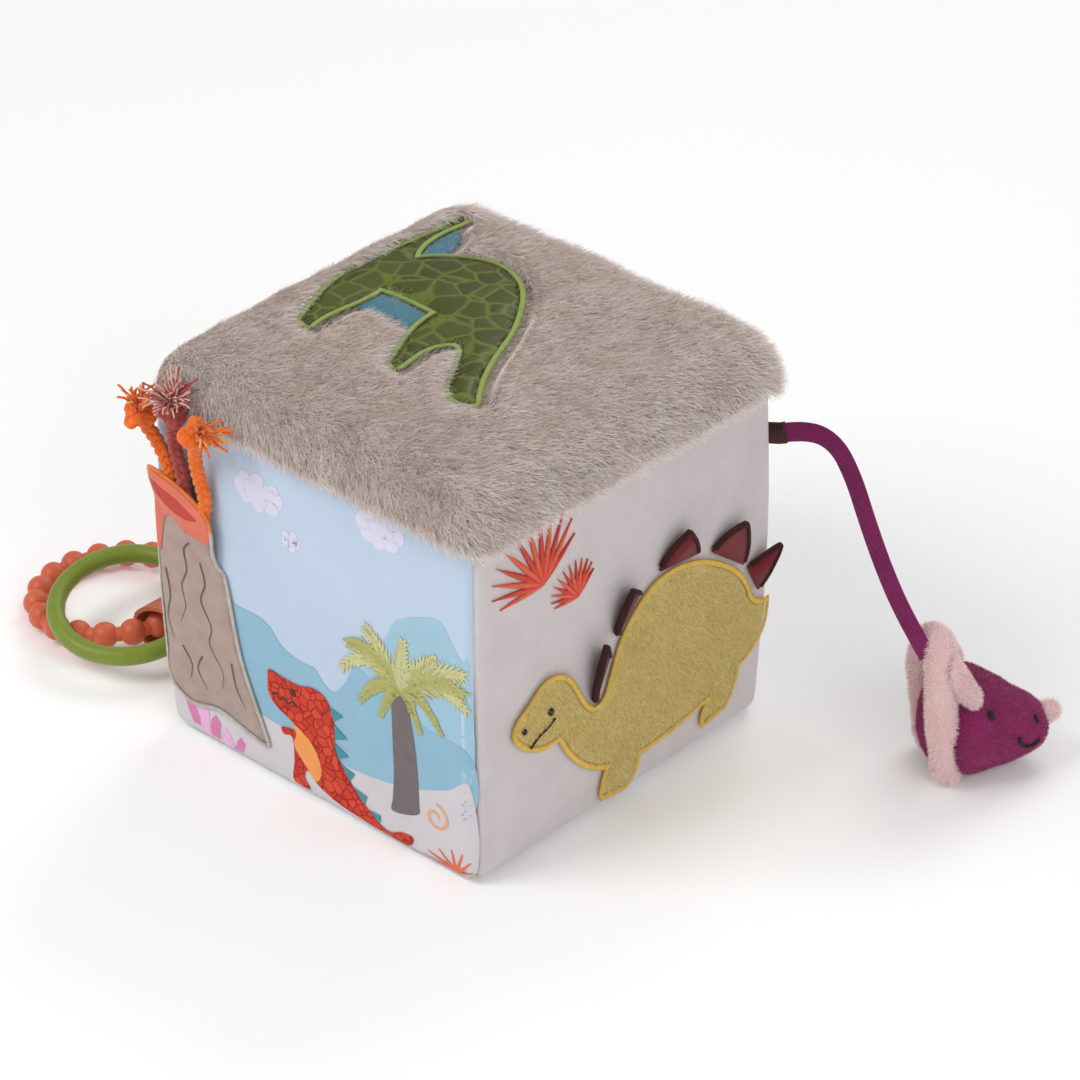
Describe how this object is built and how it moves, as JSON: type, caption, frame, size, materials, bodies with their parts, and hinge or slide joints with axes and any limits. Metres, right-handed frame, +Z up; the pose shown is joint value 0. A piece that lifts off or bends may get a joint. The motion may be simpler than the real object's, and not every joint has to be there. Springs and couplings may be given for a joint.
{
  "type": "soft activity cube",
  "caption": "Soft foam cube for a baby with fur, print and knit panels, applique animals, felt flaps, rope ends, a plush head on a strap and silicone teething rings.",
  "frame": {"origin": "centre of the cube's flat base, on the floor", "axes": "+Z up, -Y out of the printed scene, +X out of the knit face with the yellow animal, -X out of the side with the rings"},
  "size_m": [0.3556, 0.227, 0.1573],
  "materials": {
    "foam": "open-cell foam",
    "film": "thin crinkle film",
    "capsule": "smooth moulded",
    "capsule_ball": "smooth moulded",
    "fur": "long shaggy pile",
    "print_cloth": "printed woven cotton",
    "knit": "fine knit with a short nap",
    "fleece": "short fleece",
    "green_leather": "embossed scales, soft sheen",
    "teal_satin": "satin",
    "green_thread": "satin stitch",
    "volcano_cloth": "printed woven cotton",
    "orange_thread": "satin stitch",
    "silver_thread": "satin stitch",
    "yellow_pile": "short brushed pile",
    "gold_thread": "satin stitch",
    "dark_thread": "embroidery",
    "fern_thread": "embroidery",
    "strap_cloth": "soft satin ribbon",
    "brown_thread": "embroidery",
    "purple_plush": "short plush",
    "pink_plush": "short plush",
    "filling": "polyester fibre",
    "webbing": "woven webbing",
    "green_rubber": "matte silicone",
    "orange_rubber": "matte silicone",
    "felt": "needle felt",
    "orange_rope": "braided cord",
    "maroon_rope": "braided cord"
  },
  "bodies": {
    "block": {"top_fur_panel": "fur", "front_print_panel": "print_cloth", "right_knit_panel": "knit", "back_knit_panel": "knit", "left_print_panel": "print_cloth", "base_panel": "fleece", "foam_core": "foam", "crinkle_film": "film", "rattle_shell_upper": "capsule", "rattle_shell_lower": "capsule", "top_dino_body": "green_leather", "top_dino_satin": "teal_satin", "top_dino_stitching": "green_thread", "volcano_patch": "volcano_cloth", "volcano_stitching_orange": "orange_thread", "volcano_stitching_silver": "silver_thread", "stego_body": "yellow_pile", "stego_stitching": "gold_thread", "stego_face_embroidery": "dark_thread", "fern_large": "fern_thread", "fern_small": "fern_thread", "strap_anchor": "brown_thread", "loop_patch": "webbing"},
    "rattle": {"rattle_ball": "capsule_ball"},
    "plate_1": {"plate_1": "felt", "plate_1_stitching": "brown_thread"},
    "plate_2": {"plate_2": "felt", "plate_2_stitching": "brown_thread"},
    "plate_3": {"plate_3": "felt", "plate_3_stitching": "brown_thread"},
    "plate_4": {"plate_4": "felt", "plate_4_stitching": "brown_thread"},
    "plate_5": {"plate_5": "felt", "plate_5_stitching": "brown_thread"},
    "rope_left": {"rope_left": "orange_rope", "rope_knot_left": "orange_rope", "rope_tassel_left": "orange_rope"},
    "rope_middle": {"rope_middle": "maroon_rope", "rope_knot_middle": "maroon_rope", "rope_tassel_middle": "maroon_rope"},
    "rope_right": {"rope_right": "orange_rope", "rope_knot_right": "orange_rope", "rope_tassel_right": "orange_rope"},
    "strap": {"head_strap": "strap_cloth"},
    "head": {"head_skin": "purple_plush", "head_filling": "filling", "head_frill": "pink_plush", "brow_horn_near": "pink_plush", "brow_horn_far": "pink_plush", "nose_horn": "pink_plush", "head_face_embroidery": "brown_thread"},
    "loop": {"ring_loop": "webbing"},
    "bead_ring": {"bead_ring": "orange_rubber"},
    "green_ring": {"green_ring": "green_rubber"}
  },
  "joints": [
    {"name": "plate_1_lift", "type": "hinge", "parent": "block", "child": "plate_1", "pos_m": [0.0763, -0.01951, 0.05206], "axis": [0, 0.3834, 0.9236], "range_deg": [-24, 70], "stiffness_Nm_per_rad": 0.0005},
    {"name": "plate_2_lift", "type": "hinge", "parent": "block", "child": "plate_2", "pos_m": [0.0763, -0.00933, 0.07464], "axis": [0, 0.695, 0.719], "range_deg": [-21, 70], "stiffness_Nm_per_rad": 0.0005},
    {"name": "plate_3_lift", "type": "hinge", "parent": "block", "child": "plate_3", "pos_m": [0.0763, 0.01244, 0.09058], "axis": [0, 0.9934, -0.115], "range_deg": [-13, 70], "stiffness_Nm_per_rad": 0.0005},
    {"name": "plate_4_lift", "type": "hinge", "parent": "block", "child": "plate_4", "pos_m": [0.0763, 0.03935, 0.08499], "axis": [0, 0.7855, -0.6189], "range_deg": [-13, 70], "stiffness_Nm_per_rad": 0.0005},
    {"name": "plate_5_lift", "type": "hinge", "parent": "block", "child": "plate_5", "pos_m": [0.0763, 0.05888, 0.06875], "axis": [0, 0.4592, -0.8883], "range_deg": [-16, 70], "stiffness_Nm_per_rad": 0.0005},
    {"name": "rope_left_bend", "type": "hinge", "parent": "block", "child": "rope_left", "pos_m": [-0.063, -0.078, 0.1166], "axis": [1, 0, 0], "range_deg": [0, 60], "stiffness_Nm_per_rad": 0.02},
    {"name": "rope_middle_bend", "type": "hinge", "parent": "block", "child": "rope_middle", "pos_m": [-0.0556, -0.078, 0.115], "axis": [1, 0, 0], "range_deg": [0, 60], "stiffness_Nm_per_rad": 0.02},
    {"name": "rope_right_bend", "type": "hinge", "parent": "block", "child": "rope_right", "pos_m": [-0.0442, -0.078, 0.1108], "axis": [1, 0, 0], "range_deg": [0, 60], "stiffness_Nm_per_rad": 0.02},
    {"name": "strap_lift", "type": "hinge", "parent": "block", "child": "strap", "pos_m": [0.0778, 0.0778, 0.1156], "axis": [0.0178, -0.9998, 0], "range_deg": [0, 75]},
    {"name": "head_tilt", "type": "hinge", "parent": "strap", "child": "head", "pos_m": [0.1394, 0.0789, 0.0586], "axis": [0.8, -0.6, 0], "range_deg": [-35, 35]},
    {"name": "loop_lift", "type": "hinge", "parent": "block", "child": "loop", "pos_m": [-0.0796, -0.044, 0.0213], "axis": [0, 1, 0], "range_deg": [0, 50]},
    {"name": "bead_ring_lift", "type": "hinge", "parent": "loop", "child": "bead_ring", "pos_m": [-0.11439, -0.044, 0.00938], "axis": [0.184, 0.9824, 0.0316], "range_deg": [0, 50]},
    {"name": "green_ring_lift", "type": "hinge", "parent": "loop", "child": "green_ring", "pos_m": [-0.09781, -0.044, 0.01518], "axis": [-0.23, 0.9514, 0.2047], "range_deg": [0, 50]},
    {"name": "rattle_travel", "type": "slide", "parent": "block", "child": "rattle", "axis": [0, 0, 1], "range_m": [0, 0.0242]}
  ],
  "couplings": [
    {"joint": "green_ring_lift", "follows": "bead_ring_lift", "ratio": 1}
  ]
}
